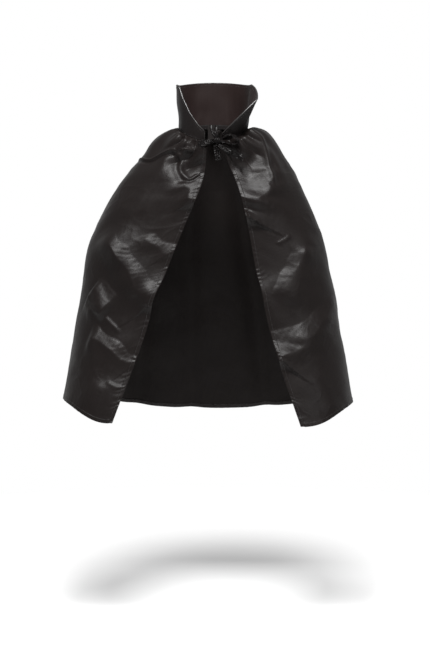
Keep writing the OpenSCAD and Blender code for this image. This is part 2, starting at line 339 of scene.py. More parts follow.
def drape(points, faces, hold, frames):
    """Runs cloth over the form and gives the points back, in millimetres."""
    mesh = bpy.data.meshes.new("drape")
    mesh.from_pydata((points * MM).tolist(), [], faces)
    cloth = bpy.data.objects.new("drape", mesh)
    bpy.context.scene.collection.objects.link(cloth)
    group = cloth.vertex_groups.new(name="hold")
    levels = np.round(hold, 2)
    for level in np.unique(levels):
        group.add(np.nonzero(levels == level)[0].tolist(), float(level), "REPLACE")
    helpers = []
    for a, b, r in FORM:
        ring = capsule(a, b, r)
        m = bpy.data.meshes.new("form")
        m.from_pydata((ring.reshape(-1, 3) * MM).tolist(), [], tube_faces(len(ring), ring.shape[1]))
        o = bpy.data.objects.new("form", m)
        bpy.context.scene.collection.objects.link(o)
        o.modifiers.new("hit", "COLLISION")
        o.collision.thickness_outer = 0.003
        o.collision.cloth_friction = 8
        helpers.append(o)
    sim = cloth.modifiers.new("drape", "CLOTH")
    cfg = sim.settings
    cfg.quality = 6
    cfg.mass = 0.12
    cfg.tension_stiffness = cfg.compression_stiffness = 12
    cfg.shear_stiffness = 6
    cfg.bending_stiffness = 3
    cfg.air_damping = 2
    cfg.vertex_group_mass = "hold"
    cfg.pin_stiffness = 1.5
    cfg.shrink_min = -0.004
    sim.collision_settings.use_collision = True
    sim.collision_settings.distance_min = 0.003
    sim.point_cache.frame_start = 1
    sim.point_cache.frame_end = frames + 1
    scene = bpy.context.scene
    for f in range(1, frames + 1):
        scene.frame_set(f)
    shown = cloth.evaluated_get(bpy.context.evaluated_depsgraph_get())
    out = np.empty(len(points) * 3, np.float32)
    shown.data.vertices.foreach_get("co", out)
    scene.frame_set(1)
    for o in [cloth, *helpers]:
        bpy.data.objects.remove(o)
    return out.reshape(-1, 3).astype(float) / MM


def soften(grid, rows, columns):
    """Repeated neighbour averaging along both axes, edges kept."""
    out = grid.copy()
    for axis, times in ((0, rows), (1, columns)):
        for _ in range(times):
            a = np.moveaxis(out, axis, 0)
            b = a.copy()
            b[1:-1] = 0.5 * a[1:-1] + 0.25 * (a[:-2] + a[2:])
            out = np.moveaxis(b, 0, axis)
    return out


COARSE_S = np.linspace(0, LENGTH, 80)
half_q = np.concatenate([np.linspace(0, FLANK_AT, 44)[1:], np.linspace(FLANK_AT, 1, 31)[1:]])
COARSE_Q = np.concatenate([-half_q[::-1], [0], half_q])
grid_q, grid_s = np.meshgrid(COARSE_Q, COARSE_S)
# the hem is cut a little shorter between the side and the front corner
HEM_CUT_UP = 0.017
front_share = np.clip((np.abs(grid_q) - FLANK_AT) / (1 - FLANK_AT), 0, 1)
grid_s = grid_s * (1 - HEM_CUT_UP * np.sin(math.pi * front_share) ** 2)
smooth = cape(grid_q, grid_s)
# distance round the cloth from the centre back, for drawing folds on it
round_it = lengths(smooth, 1)
round_it -= round_it[:, [len(COARSE_Q) // 2]]


def round_at(q, s):
    row = int(np.clip(round(s / LENGTH * (len(COARSE_S) - 1)), 0, len(COARSE_S) - 1))
    return float(np.interp(q, COARSE_Q, round_it[row]))


relief = gathers(grid_q, grid_s)
for f in FOLDS:
    if f[-1] == "round":
        relief += fold_height(round_it, grid_s, round_at, f)
shaped = smooth + relief[..., None] * grid_normals(smooth)

rows_n, cols_n = grid_q.shape
index = np.arange(rows_n * cols_n).reshape(rows_n, cols_n)
quads = np.stack([index[:-1, :-1], index[:-1, 1:], index[1:, 1:], index[1:, :-1]], -1).reshape(-1, 4)
DRAPE_FRAMES, HELD_LOOSELY = 26, 0.42
MOST_DRIFT, MOST_WRINKLE = 9, 14
# the neck seam is held fast and the rest of the cloth loosely
hold = np.where(grid_s < 1, 1.0, HELD_LOOSELY)
moved = drape(shaped.reshape(-1, 3), quads.tolist(), hold.reshape(-1), DRAPE_FRAMES)
moved = moved.reshape(shaped.shape) - shaped
# the broad movement and the wrinkles are kept apart, so that each can be limited
drift = soften(moved, 60, 60)
wrinkle = soften(moved, 5, 5) - drift
size = np.linalg.norm(drift, axis=-1, keepdims=True)
drift *= MOST_DRIFT * np.tanh(size / MOST_DRIFT) / np.maximum(size, 1e-6)
size = np.linalg.norm(wrinkle, axis=-1, keepdims=True)
wrinkle *= MOST_WRINKLE * np.tanh(size / MOST_WRINKLE) / np.maximum(size, 1e-6)
draped = shaped + drift + wrinkle

# ------------------------------------------------------------------ fine cloth
FINER = 3
fine_rows = np.linspace(0, rows_n - 1, (rows_n - 1) * FINER + 1)
fine_cols = np.linspace(0, cols_n - 1, (cols_n - 1) * FINER + 1)
cloth_grid = refine(draped, fine_rows, fine_cols)
q_fine = np.interp(fine_cols, np.arange(cols_n), COARSE_Q)
s_fine = np.interp(fine_rows, np.arange(rows_n), COARSE_S)
Q, S = np.meshgrid(q_fine, s_fine)
across = lengths(cloth_grid, 1)
across -= across[:, [len(q_fine) // 2]]

# small wrinkles: broad swells, satin's sharp little creases, gathers at the seam, puckers at the edges
edge_far = np.minimum(across - across[:, :1], across[:, -1:] - across)
free = ease(S / 14)
swell = ripple(across, S * 0.7, 110, 11) * 0.9 + ripple(across, S, 42, 12) * 0.16
crease = 1 - np.abs(ripple(across, S, 60, 13, 12))
crease = np.clip(crease, -0.6, 1) ** 3 * np.clip(ripple(across, S, 150, 14) + 0.3, 0, 1.2)
fine_wrinkle = ripple(across * 0.45, S, 9, 15, 40) * 0.035 + ripple(across, S * 0.5, 22, 24, 30) * 0.07
patchy = np.clip(0.5 + 0.6 * ripple(across, S, 120, 16), 0, 1.3)
pucker = np.cos(2 * math.pi * (S / 12.5 + 0.6 * ripple(across, S, 60, 17, 8))) * np.exp(-edge_far / 9)
from_hem = LENGTH - S
hem_pucker = np.cos(2 * math.pi * (across / 14 + 0.5 * ripple(across, S, 70, 18, 8))) * np.exp(-from_hem / 9)
seam_gather = np.cos(2 * math.pi * (Q * 46 + 0.7 * ripple(Q * 40, S, 12, 19, 8)))
seam_gather = ease(S / 5) * seam_gather * np.exp(-(((S - 7) / 11) ** 2))
uneven_pucker = pucker * np.clip(0.45 + 0.6 * ripple(across, S, 45, 25, 10), 0, 1.2)
detail = free * (swell + 0.45 * crease + fine_wrinkle * patchy + 0.95 * uneven_pucker)
detail = detail + 0.4 * hem_pucker + seam_gather
# at the front the gathers are deep and narrow, apart from the flat place beside the right shoulder
pleat = np.abs(np.sin(math.pi * (Q * 13 + 0.4 * ripple(Q * 60, S * 0.3, 32, 26, 8)))) ** 0.8 - 0.62
deep = ease(S / 8) * np.exp(-((np.maximum(S - 24, 0) / 42) ** 2)) * ease((np.abs(Q) - 0.74) / 0.1)
deep = deep * (1 - 0.9 * np.exp(-(((Q + 0.905) / 0.03) ** 2) - ((S - 24) / 13) ** 2))
hollow = np.exp(-(((S - 68) / 25) ** 2)) * ease((np.abs(Q) - 0.8) / 0.08)
detail = detail + 8.5 * pleat * deep - 10 * hollow
round_fine = refine(round_it[..., None], fine_rows, fine_cols)[..., 0]
for f in FOLDS:
    if f[-1] == "lip":
        detail = detail + fold_height(round_fine, S, round_at, f)
for f in PLANES:
    detail = detail + plane_height(round_fine, S, round_at, f)
cloth_normals = grid_normals(refine(smooth, fine_rows, fine_cols))
cloth_grid = cloth_grid + detail[..., None] * cloth_normals
cloth_normals = grid_normals(cloth_grid)
across = lengths(cloth_grid, 1)
down = lengths(cloth_grid, 0)
CENTRE = len(q_fine) // 2


def at(grid, r, c):
    """A grid's smooth value at scattered fractional rows and columns."""
    r, c = np.asarray(r, float), np.asarray(c, float)
    i = np.clip(np.floor(r).astype(int), 0, grid.shape[0] - 2)
    j = np.clip(np.floor(c).astype(int), 0, grid.shape[1] - 2)
    t, u = (r - i)[..., None], (c - j)[..., None]
    a = grid[i, j] * (1 - t) + grid[i + 1, j] * t
    b = grid[i, j + 1] * (1 - t) + grid[i + 1, j + 1] * t
    return a * (1 - u) + b * u


# ------------------------------------------------------------------ pieces
def new_mesh(name, points, faces, materials, uv=None, face_slots=None, normals=None):
    mesh = bpy.data.meshes.new(name)
    mesh.from_pydata((np.asarray(points, float).reshape(-1, 3) * MM).tolist(), [], [tuple(f) for f in faces])
    for m in materials:
        mesh.materials.append(m)
    mesh.polygons.foreach_set("use_smooth", np.ones(len(mesh.polygons), bool))
    if face_slots is not None:
        mesh.polygons.foreach_set("material_index", np.asarray(face_slots, np.int32))
    if uv is not None:
        layer = mesh.uv_layers.new(name="cloth")
        loops = np.empty(len(mesh.loops), np.int32)
        mesh.loops.foreach_get("vertex_index", loops)
        layer.data.foreach_set("uv", np.asarray(uv, np.float32)[loops].reshape(-1))
    mesh.validate()
    mesh.update()
    if normals is not None:
        mesh.normals_split_custom_set_from_vertices(np.asarray(normals, float).tolist())
    obj = bpy.data.objects.new(name, mesh)
    bpy.context.scene.collection.objects.link(obj)
    return obj


def closed_sheet(name, points, normals, outer, inner, materials, uv=None):
    """A grid made into thin closed cloth with a narrow rim. outer and inner are its faces' offsets in mm."""
    rows, cols = points.shape[:2]
    n = rows * cols
    outer, inner = (np.broadcast_to(np.asarray(v, float), (rows, cols))[..., None] for v in (outer, inner))
    both = np.concatenate([(points + high * normals).reshape(-1, 3) for high in (outer, inner)])
    idx = np.arange(n).reshape(rows, cols)
    q = np.stack([idx[:-1, :-1], idx[:-1, 1:], idx[1:, 1:], idx[1:, :-1]], -1).reshape(-1, 4)
    ring = np.concatenate([idx[0, :], idx[1:, -1], idx[-1, -2::-1], idx[-2:0:-1, 0]])
    nxt = np.roll(ring, -1)
    rim = np.stack([ring, ring + n, nxt + n, nxt], -1)
    faces = np.concatenate([q, q[:, ::-1] + n, rim])
    slots = np.zeros(len(faces), int)
    slots[len(q) : 2 * len(q)] = len(materials) > 1
    flat = np.concatenate([normals.reshape(-1, 3), -normals.reshape(-1, 3)])
    coords = None if uv is None else np.concatenate([uv.reshape(-1, 2), uv.reshape(-1, 2)])
    return new_mesh(name, both, faces.tolist(), materials, uv=coords, face_slots=slots, normals=flat)


def tube_from_rings(rings):
    """Points and faces of a closed tube through rings that run clockwise seen from the start."""
    rings = np.asarray(rings, float)
    count, around = rings.shape[:2]
    return rings.reshape(-1, 3), tube_faces(count, around)


class Batch:
    """Many small closed shapes joined into one mesh."""

    def __init__(self):
        self.points, self.faces, self.total = [], [], 0

    def add(self, points, faces):
        points = np.asarray(points, float).reshape(-1, 3)
        self.points.append(points)
        self.faces += [tuple(i + self.total for i in f) for f in faces]
        self.total += len(points)

    def make(self, name, materials, uv=None):
        return new_mesh(name, np.concatenate(self.points), self.faces, materials, uv=uv)


# How far along a stitch, how high, and how thick as a share of the thread
STITCH_SHAPE = ((0, -0.35, 0.55), (0.16, 0.12, 0.95), (0.5, 0.3, 1), (0.84, 0.12, 0.95), (1, -0.35, 0.55))
THREAD_RADIUS = 0.32


def stitch(batch, a, b, normal):
    """One thread stitch from a to b that dips into the cloth at both ends."""
    a, b, normal = (np.asarray(v, float) for v in (a, b, normal))
    run = b - a
    side = unit(np.cross(run, normal))
    rings = []
    for t, lift, size in STITCH_SHAPE:
        centre = a + t * run + lift * normal
        spokes = [math.cos(w) * side + 0.7 * math.sin(w) * normal for w in turns(6)]
        rings.append([centre + size * THREAD_RADIUS * spoke for spoke in spokes])
    batch.add(*tube_from_rings(rings))


def seam(batch, points, normals, pitch=3.2, share=0.68):
    """A row of stitches along a line of points."""
    run = lengths(points[None], 1)[0]
    count = int(run[-1] / pitch)
    for k in range(count):
        ends = []
        for d in (k * pitch + 0.5 * (1 - share) * pitch, k * pitch + (0.5 + 0.5 * share) * pitch):
            ends.append(np.array([np.interp(d, run, points[:, i]) for i in range(3)]))
        middle = unit(np.array([np.interp((k + 0.5) * pitch, run, normals[:, i]) for i in range(3)]))
        stitch(batch, ends[0], ends[1], middle)


# ------------------------------------------------------------------ materials
def nodes_of(name):
    m = bpy.data.materials.new(name)
    m.use_nodes = True
    nt = m.node_tree
    for n in list(nt.nodes):
        nt.nodes.remove(n)
    out = nt.nodes.new("ShaderNodeOutputMaterial")
    shader = nt.nodes.new("ShaderNodeBsdfPrincipled")
    nt.links.new(shader.outputs["BSDF"], out.inputs["Surface"])
    return m, nt, shader


def maths(nt, operation, a, b=None, clamp=False):
    n = nt.nodes.new("ShaderNodeMath")
    n.operation = operation
    n.use_clamp = clamp
    for i, v in enumerate((a, b)):
        if v is None:
            continue
        if isinstance(v, (int, float)):
            n.inputs[i].default_value = v
        else:
            nt.links.new(v, n.inputs[i])
    return n.outputs[0]


def ramp(nt, source, low, high, stops=(0.0, 1.0)):
    n = nt.nodes.new("ShaderNodeValToRGB")
    n.color_ramp.elements[0].position, n.color_ramp.elements[1].position = stops
    n.color_ramp.elements[0].color = (*low, 1)
    n.color_ramp.elements[1].color = (*high, 1)
    nt.links.new(source, n.inputs["Fac"])
    return n.outputs["Color"]


def scaled(nt, source, factors):
    n = nt.nodes.new("ShaderNodeMapping")
    n.inputs["Scale"].default_value = factors
    nt.links.new(source, n.inputs["Vector"])
    return n.outputs["Vector"]


def noise(nt, vector, scale, detail=2.0, rough=0.5):
    n = nt.nodes.new("ShaderNodeTexNoise")
    n.inputs["Scale"].default_value = scale
    n.inputs["Detail"].default_value = detail
    n.inputs["Roughness"].default_value = rough
    nt.links.new(vector, n.inputs["Vector"])
    return n.outputs["Fac"]


THREAD_DEPTH, CRINKLE_DEPTH = 0.0002, 0.004


def mixed(nt, *shares):
    """The sum of several sources, each times its share."""
    parts = [maths(nt, "MULTIPLY", source, share) for source, share in shares]
    total = parts[0]
    for part in parts[1:]:
        total = maths(nt, "ADD", total, part)
    return total


def spread(nt, source, low, high, start=0.0, stop=1.0):
    n = nt.nodes.new("ShaderNodeMapRange")
    n.inputs["From Min"].default_value, n.inputs["From Max"].default_value = start, stop
    n.inputs["To Min"].default_value, n.inputs["To Max"].default_value = low, high
    nt.links.new(source, n.inputs["Value"])
    return n.outputs["Result"]


def bump(nt, height, strength, distance, under=None):
    n = nt.nodes.new("ShaderNodeBump")
    n.inputs["Strength"].default_value = strength
    n.inputs["Distance"].default_value = distance
    nt.links.new(height, n.inputs["Height"])
    if under is not None:
        nt.links.new(under, n.inputs["Normal"])
    return n.outputs["Normal"]


def cloth_material(name, dark, light, rough, gloss, sheen, weave, crinkle):
    """Woven satin: warp floats along the cloth, fine weft lines, slubs, and a crinkle too small to model."""
    m, nt, shader = nodes_of(name)
    uv = nt.nodes.new("ShaderNodeUVMap")
    uv.uv_map = "cloth"
    flat = uv.outputs["UV"]
    place = nt.nodes.new("ShaderNodeTexCoord").outputs["Object"]
    # colour: slow dye variation, slubs that run down the warp, and thread-scale flecks
    clouds = noise(nt, place, 7, 3, 0.55)
    slubs = noise(nt, scaled(nt, flat, (260, 7, 1)), 1.0, 3, 0.6)
    flecks = noise(nt, scaled(nt, flat, (1500, 500, 1)), 1.0, 1, 0.5)
    shade = mixed(nt, (clouds, 0.5), (slubs, 0.35), (flecks, 0.15))
    nt.links.new(ramp(nt, shade, dark, light, (0.3, 0.7)), shader.inputs["Base Color"])
    # gloss: smoother where the floats lie flat
    sweep = noise(nt, scaled(nt, place, (9, 9, 3.15)), 1.0, 4, 0.6)
    spots = noise(nt, place, 55, 3, 0.6)
    level = mixed(nt, (sweep, 0.6), (spots, 0.4))
    nt.links.new(spread(nt, level, *rough, 0.3, 0.7), shader.inputs["Roughness"])
    shader.inputs["Specular IOR Level"].default_value = gloss
    shader.inputs["Sheen Weight"].default_value = sheen
    shader.inputs["Sheen Roughness"].default_value = 0.45
    # relief: weft ribs and warp floats, then the crinkle
    wave = nt.nodes.new("ShaderNodeTexWave")
    wave.wave_type, wave.bands_direction = "BANDS", "Y"
    wave.inputs["Scale"].default_value = 420
    wave.inputs["Distortion"].default_value = 0.8
    wave.inputs["Detail"].default_value = 1
    nt.links.new(flat, wave.inputs["Vector"])
    threads = mixed(nt, (wave.outputs["Fac"], 0.4), (flecks, 0.6))
    folds = noise(nt, scaled(nt, flat, (75, 48, 1)), 1.0, 4, 0.55)
    ridge = maths(nt, "ABSOLUTE", maths(nt, "SUBTRACT", folds, 0.5))
    relief = bump(nt, ridge, crinkle, CRINKLE_DEPTH, under=bump(nt, threads, weave, THREAD_DEPTH))
    nt.links.new(relief, shader.inputs["Normal"])
    return m


satin = cloth_material(
    "black_satin", (0.0050, 0.0037, 0.0035), (0.0078, 0.0059, 0.0055), (0.32, 0.46), 0.12, 0.008, 0.35,
    0.14,
)
satin_back = cloth_material(
    "black_satin_back", (0.0045, 0.0035, 0.0033), (0.0076, 0.0060, 0.0056), (0.52, 0.66), 0.07, 0.015, 0.45,
    0.05,
)
collar_cloth = cloth_material(
    "collar_satin", (0.0056, 0.0044, 0.0043), (0.0086, 0.0070, 0.0068), (0.34, 0.48), 0.09, 0.015, 0.40,
    0.10,
)
facing_cloth = cloth_material(
    "collar_facing", (0.0085, 0.0050, 0.0047), (0.0140, 0.0085, 0.0078), (0.52, 0.64), 0.07, 0.02, 0.60,
    0.05,
)
ribbon_cloth = cloth_material(
    "black_ribbon", (0.0024, 0.0019, 0.0019), (0.0046, 0.0038, 0.0038), (0.24, 0.36), 0.10, 0.005, 0.30,
    0.16,
)
binding_cloth = cloth_material(
    "neck_binding", (0.0055, 0.0045, 0.0045), (0.0095, 0.0080, 0.0080), (0.50, 0.62), 0.08, 0.03, 0.60,
    0.03,
)
edge_cloth = cloth_material(
    "collar_edge_satin", (0.0070, 0.0056, 0.0055), (0.0110, 0.0092, 0.0090), (0.24, 0.34), 0.55, 0.02, 0.30,
    0.10,
)
stiffener_felt = cloth_material(
    "stiffener", (0.48, 0.47, 0.45), (0.66, 0.65, 0.62), (0.80, 0.92), 0.20, 0.15, 0.80, 0.04,
)
label_cloth = cloth_material(
    "label", (0.0075, 0.0062, 0.0060), (0.0130, 0.0108, 0.0104), (0.55, 0.70), 0.10, 0.02, 0.70, 0.02,
)


def thread_material():
    m, nt, shader = nodes_of("thread")
    place = nt.nodes.new("ShaderNodeTexCoord").outputs["Object"]
    twist = noise(nt, place, 900, 2, 0.6)
    colour = ramp(nt, twist, (0.008, 0.007, 0.007), (0.020, 0.018, 0.018), (0.3, 0.7))
    nt.links.new(colour, shader.inputs["Base Color"])
    nt.links.new(spread(nt, twist, 0.35, 0.5), shader.inputs["Roughness"])
    shader.inputs["Specular IOR Level"].default_value = 0.45
    nt.links.new(bump(nt, twist, 0.5, THREAD_DEPTH), shader.inputs["Normal"])
    return m


thread = thread_material()

# ------------------------------------------------------------------ hinges of the moving parts
# For each moving part: a point on its hinge, the direction across it into the part, and where the bend
# starts and ends
BENDS = {
    "left_front": ((0.2052, -0.1239, -0.3690), (-0.857, -0.317, -0.411), 0.010, 0.140),
    "right_front": ((-0.2185, -0.1237, -0.3640), (0.831, -0.297, -0.480), 0.010, 0.140),
    "left_wing": ((0.0720, -0.0677, 0.0576), (-0.432, -0.689, 0.582), -0.008, 0.030),
    "right_wing": ((-0.0602, -0.0615, 0.0608), (0.620, -0.562, 0.548), -0.008, 0.030),
    "left_back": ((0.0, 0.0, 0.018), (-0.888, 0.0, -0.461), 0.0, 0.305),
    "right_back": ((0.0, 0.0, 0.018), (0.888, 0.0, -0.461), 0.0, 0.305),
}


def bend(obj, part):
    base, way, begin, end = BENDS[part]
    base, way = Vector(base), Vector(way)
    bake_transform(obj)
    return obj


def dress(obj, part, slot, *stands_for):
    """Joins a shoulders piece to its body, bakes the transform of any other piece, and hides the CAD parts
    whose place it takes. slot is not used.
    """
    if part == "shoulders":
        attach(obj, part)
    else:
        bend(obj, part)
    if stands_for:
        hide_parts(*stands_for)
    return obj


# ------------------------------------------------------------------ cape panels
SIDES = {"left": 1, "right": -1}
flank_cols = {side: int(np.argmin(np.abs(q_fine - sign * FLANK_AT))) for side, sign in SIDES.items()}
last_col = len(q_fine) - 1
cloth_uv = np.stack([across, down], -1) * MM
for side in SIDES:
    flank = flank_cols[side]
    spans = {
        "front": slice(flank, last_col + 1) if side == "left" else slice(0, flank + 1),
        "back": slice(CENTRE, flank + 1) if side == "left" else slice(flank, CENTRE + 1),
    }
    for part, cut in spans.items():
        name, grid, uv = f"{side}_{part}_cloth", cloth_grid[:, cut], cloth_uv[:, cut]
        piece = closed_sheet(name, grid, cloth_normals[:, cut], 0.25, -0.25, [satin, satin_back], uv=uv)
        dress(piece, f"{side}_{part}", "black_satin", f"{side}_{part}_panel", f"{side}_shoulder_panel")

# ------------------------------------------------------------------ hems
# Cross-section of a turned hem: distance in from the edge, and height off the cloth's middle
HEM_SECTION = np.array(
    [
        (-0.75, -0.35), (-0.62, 0.12), (-0.1, 0.42), (2, 0.52), (5, 0.5), (7.6, 0.44), (8.7, 0.2),
        (8.8, -0.5), (8.4, -0.95), (7.6, -1.15), (4, -1.3), (1.5, -1.25), (-0.2, -1.1), (-0.65, -0.8),
    ],
)
STITCH_IN = 7.0


def strip_ring(rows, cols, edge, inner, section):
    """One ring of a strip: section points on the cloth at rows and cols, or past its edge."""
    past = np.minimum(section[:, :1], 0) * unit(at(cloth_grid, *inner)[0] - at(cloth_grid, *edge)[0])
    return at(cloth_grid, rows, cols) + past + section[:, 1:] * unit(at(cloth_normals, rows, cols))


def edge_rings(rows, side, section):
    """Rings of a strip along a front edge: section points placed by distance from the edge and height."""
    order = slice(None, None, -1) if side == "left" else slice(None)
    cols = np.arange(last_col + 1)[order]
    rings = []
    for r in rows:
        from_edge = across[int(np.clip(round(r), 0, len(s_fine) - 1))][order]
        c = np.interp(np.maximum(section[:, 0], 0), np.abs(from_edge - from_edge[0]), cols)
        edge, inner = ([r], [cols[0]]), ([r], [cols[0] - SIDES[side] * 1.5])
        rings.append(strip_ring(np.full(len(c), r), c, edge, inner, section))
    return np.array(rings)


def hem_rings(cols, section):
    """Rings of a strip along the bottom edge."""
    rows = np.arange(len(s_fine))[::-1]
    rings = []
    for c in cols:
        line = down[:, int(np.clip(round(c), 0, last_col))]
        r = np.interp(np.maximum(section[:, 0], 0), line[-1] - line[::-1], rows)
        edge, inner = ([rows[0]], [c]), ([rows[0] - 1.5], [c])
        rings.append(strip_ring(r, np.full(len(r), c), edge, inner, section))
    return np.array(rings)


def tube(name_batch, rings, flip):
    rings = rings[:, ::-1] if flip else rings
    name_batch.add(*tube_from_rings(rings))


def thread_rows(batch, rings_of, *places):
    """The hem's stitches on both faces of the cloth; rings_of and places say along which edge they run."""
    for lift in (0.5, -1.3):
        line = rings_of(*places, np.array([[STITCH_IN, lift]]))[:, 0]
        above = rings_of(*places, np.array([[STITCH_IN, lift + np.sign(lift)]]))[:, 0]
        seam(batch, line, unit(above - line))


def make_hem(side, part, hem, rows_of_thread):
    """The two pieces of one hem: its turned fold and its stitches."""
    fold = hem.make(f"{side}_{part}_hem_fold", [satin])
    nodes = f"{side}_{part}_hem", f"{side}_shoulder_hem"
    dress(fold, f"{side}_{part}", "black_satin", *nodes)
    stitches = rows_of_thread.make(f"{side}_{part}_stitches", [thread])
    dress(stitches, f"{side}_{part}", "black_satin")


for side, sign in SIDES.items():
    flank = flank_cols[side]
    edge_col = last_col if side == "left" else 0
    # front edge and the bottom of the front
    hem, rows_of_thread = Batch(), Batch()
    rows = np.linspace(1.2, len(s_fine) - 1, 2 * len(s_fine))
    tube(hem, edge_rings(rows, side, HEM_SECTION), side == "left")
    in_from_edge = np.abs(across[-1] - across[-1][edge_col])[::-sign]
    corner = float(np.interp(7.5, in_from_edge, np.arange(last_col + 1)[::-sign]))
    tube(hem, hem_rings(np.linspace(corner, flank, 190), HEM_SECTION), side == "right")
    thread_rows(rows_of_thread, edge_rings, rows[:-6], side)
    thread_rows(rows_of_thread, hem_rings, np.linspace(corner + sign * -4, flank, 380))
    make_hem(side, "front", hem, rows_of_thread)
    # bottom of the back
    hem, rows_of_thread = Batch(), Batch()
    tube(hem, hem_rings(np.linspace(flank, CENTRE, 300), HEM_SECTION), side == "right")
    thread_rows(rows_of_thread, hem_rings, np.linspace(flank, CENTRE, 600))
    make_hem(side, "back", hem, rows_of_thread)

# ------------------------------------------------------------------ collar
COLLAR_HEIGHT = 108
LEAN = {"back": 4.0, "left": 33.0, "right": 1.0}
LEAN_FROM, LEAN_TO = 0.58, 0.8
RISE = {
    1: ([0.62, 0.7, 0.8, 0.9, 1.0], [0.95, 0.915, 0.84, 0.465, 0.11]),
    -1: ([0.7, 0.76, 0.81, 0.85, 0.91, 1.0], [0.95, 0.73, 0.615, 0.5, 0.36, 0.15]),
}
COLLAR_END = 0.985
HALF_NECK = 240


def outward(q):
    a, b = cape(np.maximum(q - 0.01, -1), 0), cape(np.minimum(q + 0.01, 1), 0)
    return unit(np.stack([a[..., 1] - b[..., 1], b[..., 0] - a[..., 0], np.zeros_like(a[..., 0])], -1))


def collar(q, h):
    """The collar's middle surface: h is millimetres up from the neck seam."""
    q, h = np.broadcast_arrays(np.asarray(q, float), np.asarray(h, float))
    t = np.clip((np.abs(q) - LEAN_FROM) / (LEAN_TO - LEAN_FROM), 0, 1)
    lean = np.radians(LEAN["back"] + (np.where(q < 0, LEAN["right"], LEAN["left"]) - LEAN["back"]) * t**2)
    up = np.cos(lean)[..., None] * np.array([0, 0, 1.0]) + np.sin(lean)[..., None] * outward(q)
    return cape(q, 0) + h[..., None] * up


def collar_top(q):
    q = np.asarray(q, float)
    rise = np.where(q > 0, np.interp(np.abs(q), *RISE[1]), np.interp(np.abs(q), *RISE[-1]))
    return COLLAR_HEIGHT * rise


def collar_grid(side, rows, cols, low, inset):
    """Collar points from the top edge down, columns from the centre back round to the front end."""
    end = COLLAR_END - inset / HALF_NECK
    qs = np.linspace(0, end, cols) * SIDES[side]
    if side == "right":
        qs = qs[::-1]
    heights = collar_top(qs) - inset
    share = np.linspace(1, 0, rows)[:, None]
    h = low + share * np.maximum(heights - low, 1)[None, :]
    q = np.broadcast_to(qs[None, :], h.shape)
    points = collar(q, h)
    # the stiffened cloth buckles a little, and ripples where it is caught by the seams
    around = q * HALF_NECK
    wave = 0.55 * ripple(around, h, 55, 31) + 0.25 * ripple(around, h * 0.7, 22, 32) * np.exp(-h / 30)
    wave *= ease(h / 8)
    normals = grid_normals(points)
    points = points + wave[..., None] * normals
    return points, grid_normals(points), np.stack([around, h], -1) * MM


def rolled(line, normals, outwards, thick, tall, around, sunk=0.0):
    """Rings of a roll of cloth along an edge, thick across the cloth and tall outwards from it."""
    rings = []
    for p, n, o in zip(line, normals, outwards):
        rings.append([p + thick * math.cos(w) * n + (tall * math.sin(w) - sunk) * o for w in turns(around)])
    return np.array(rings)


collar_pieces = {}
for side, sign in SIDES.items():
    part = f"{side}_wing"
    points, normals, uv = collar_grid(side, 46, 120, 0.6, 0)
    layers = {
        "outer": (1.45, 0.95, collar_cloth, "collar_satin", 0),
        "stiffener": (0.45, -0.45, stiffener_felt, "stiffener", 5),
        "facing": (-0.95, -1.45, facing_cloth, "collar_facing", 0),
    }
    for layer, (high, low, material, slot_name, inset) in layers.items():
        grid, ns, coords = (points, normals, uv) if not inset else collar_grid(side, 40, 110, 2.5, inset)
        piece = closed_sheet(f"{side}_collar_{layer}", grid, ns, high, low, [material], uv=coords)
        dress(piece, part, slot_name, f"collar_stand_{layer}", f"{side}_wing_{layer}")
        collar_pieces[side, layer] = piece
    # the rolled edge, from the centre back over the point and down to the front end
    top_line, top_normals = points[0], normals[0]
    tangent = unit(np.gradient(top_line, axis=0))
    outwards = unit(np.cross(tangent, top_normals))
    outwards *= np.sign(np.einsum("ij,ij->i", outwards, points[0] - points[3]))[:, None]
    rings = rolled(top_line, top_normals, outwards, 1.62, 1.25, 14, sunk=0.25)
    edge = Batch()
    edge.add(*tube_from_rings(rings if side == "right" else rings[:, ::-1]))
    # the front end, from the top edge down to the seam
    col = -1 if side == "left" else 0
    end_line, end_normals = points[:, col], normals[:, col]
    end_way = unit(points[:, col] - points[:, col - 2 if side == "left" else col + 2])
    edge.add(*tube_from_rings(rolled(end_line, end_normals, end_way, 1.6, 1.2, 12)))
    piece = edge.make(f"{side}_collar_edge", [edge_cloth])
    dress(piece, part, "collar_satin")
    # topstitching a little in from the edge, seen on both faces
    rows_of_thread = Batch()
    for face in (1.5, -1.5):
        tall = lengths(points, 0)[-1]
        drop = np.clip(5.5 / np.maximum(tall, 1), 0, 0.8) * (len(points) - 1)
        line = at(points, drop, np.arange(points.shape[1]))
        ln = unit(at(normals, drop, np.arange(points.shape[1])))
        seam(rows_of_thread, line + face * ln, np.sign(face) * ln, pitch=3.0)
    # and the seam that joins the collar to the gathered cloth
    foot = at(points, np.full(points.shape[1], len(points) - 2.2), np.arange(points.shape[1]))
    fn = unit(at(normals, np.full(points.shape[1], len(points) - 2.2), np.arange(points.shape[1])))
    seam(rows_of_thread, foot + 1.5 * fn, fn, pitch=3.0)
    piece = rows_of_thread.make(f"{side}_collar_stitches", [thread])
    dress(piece, part, "collar_satin")
    collar_pieces[side, "stitches"] = piece

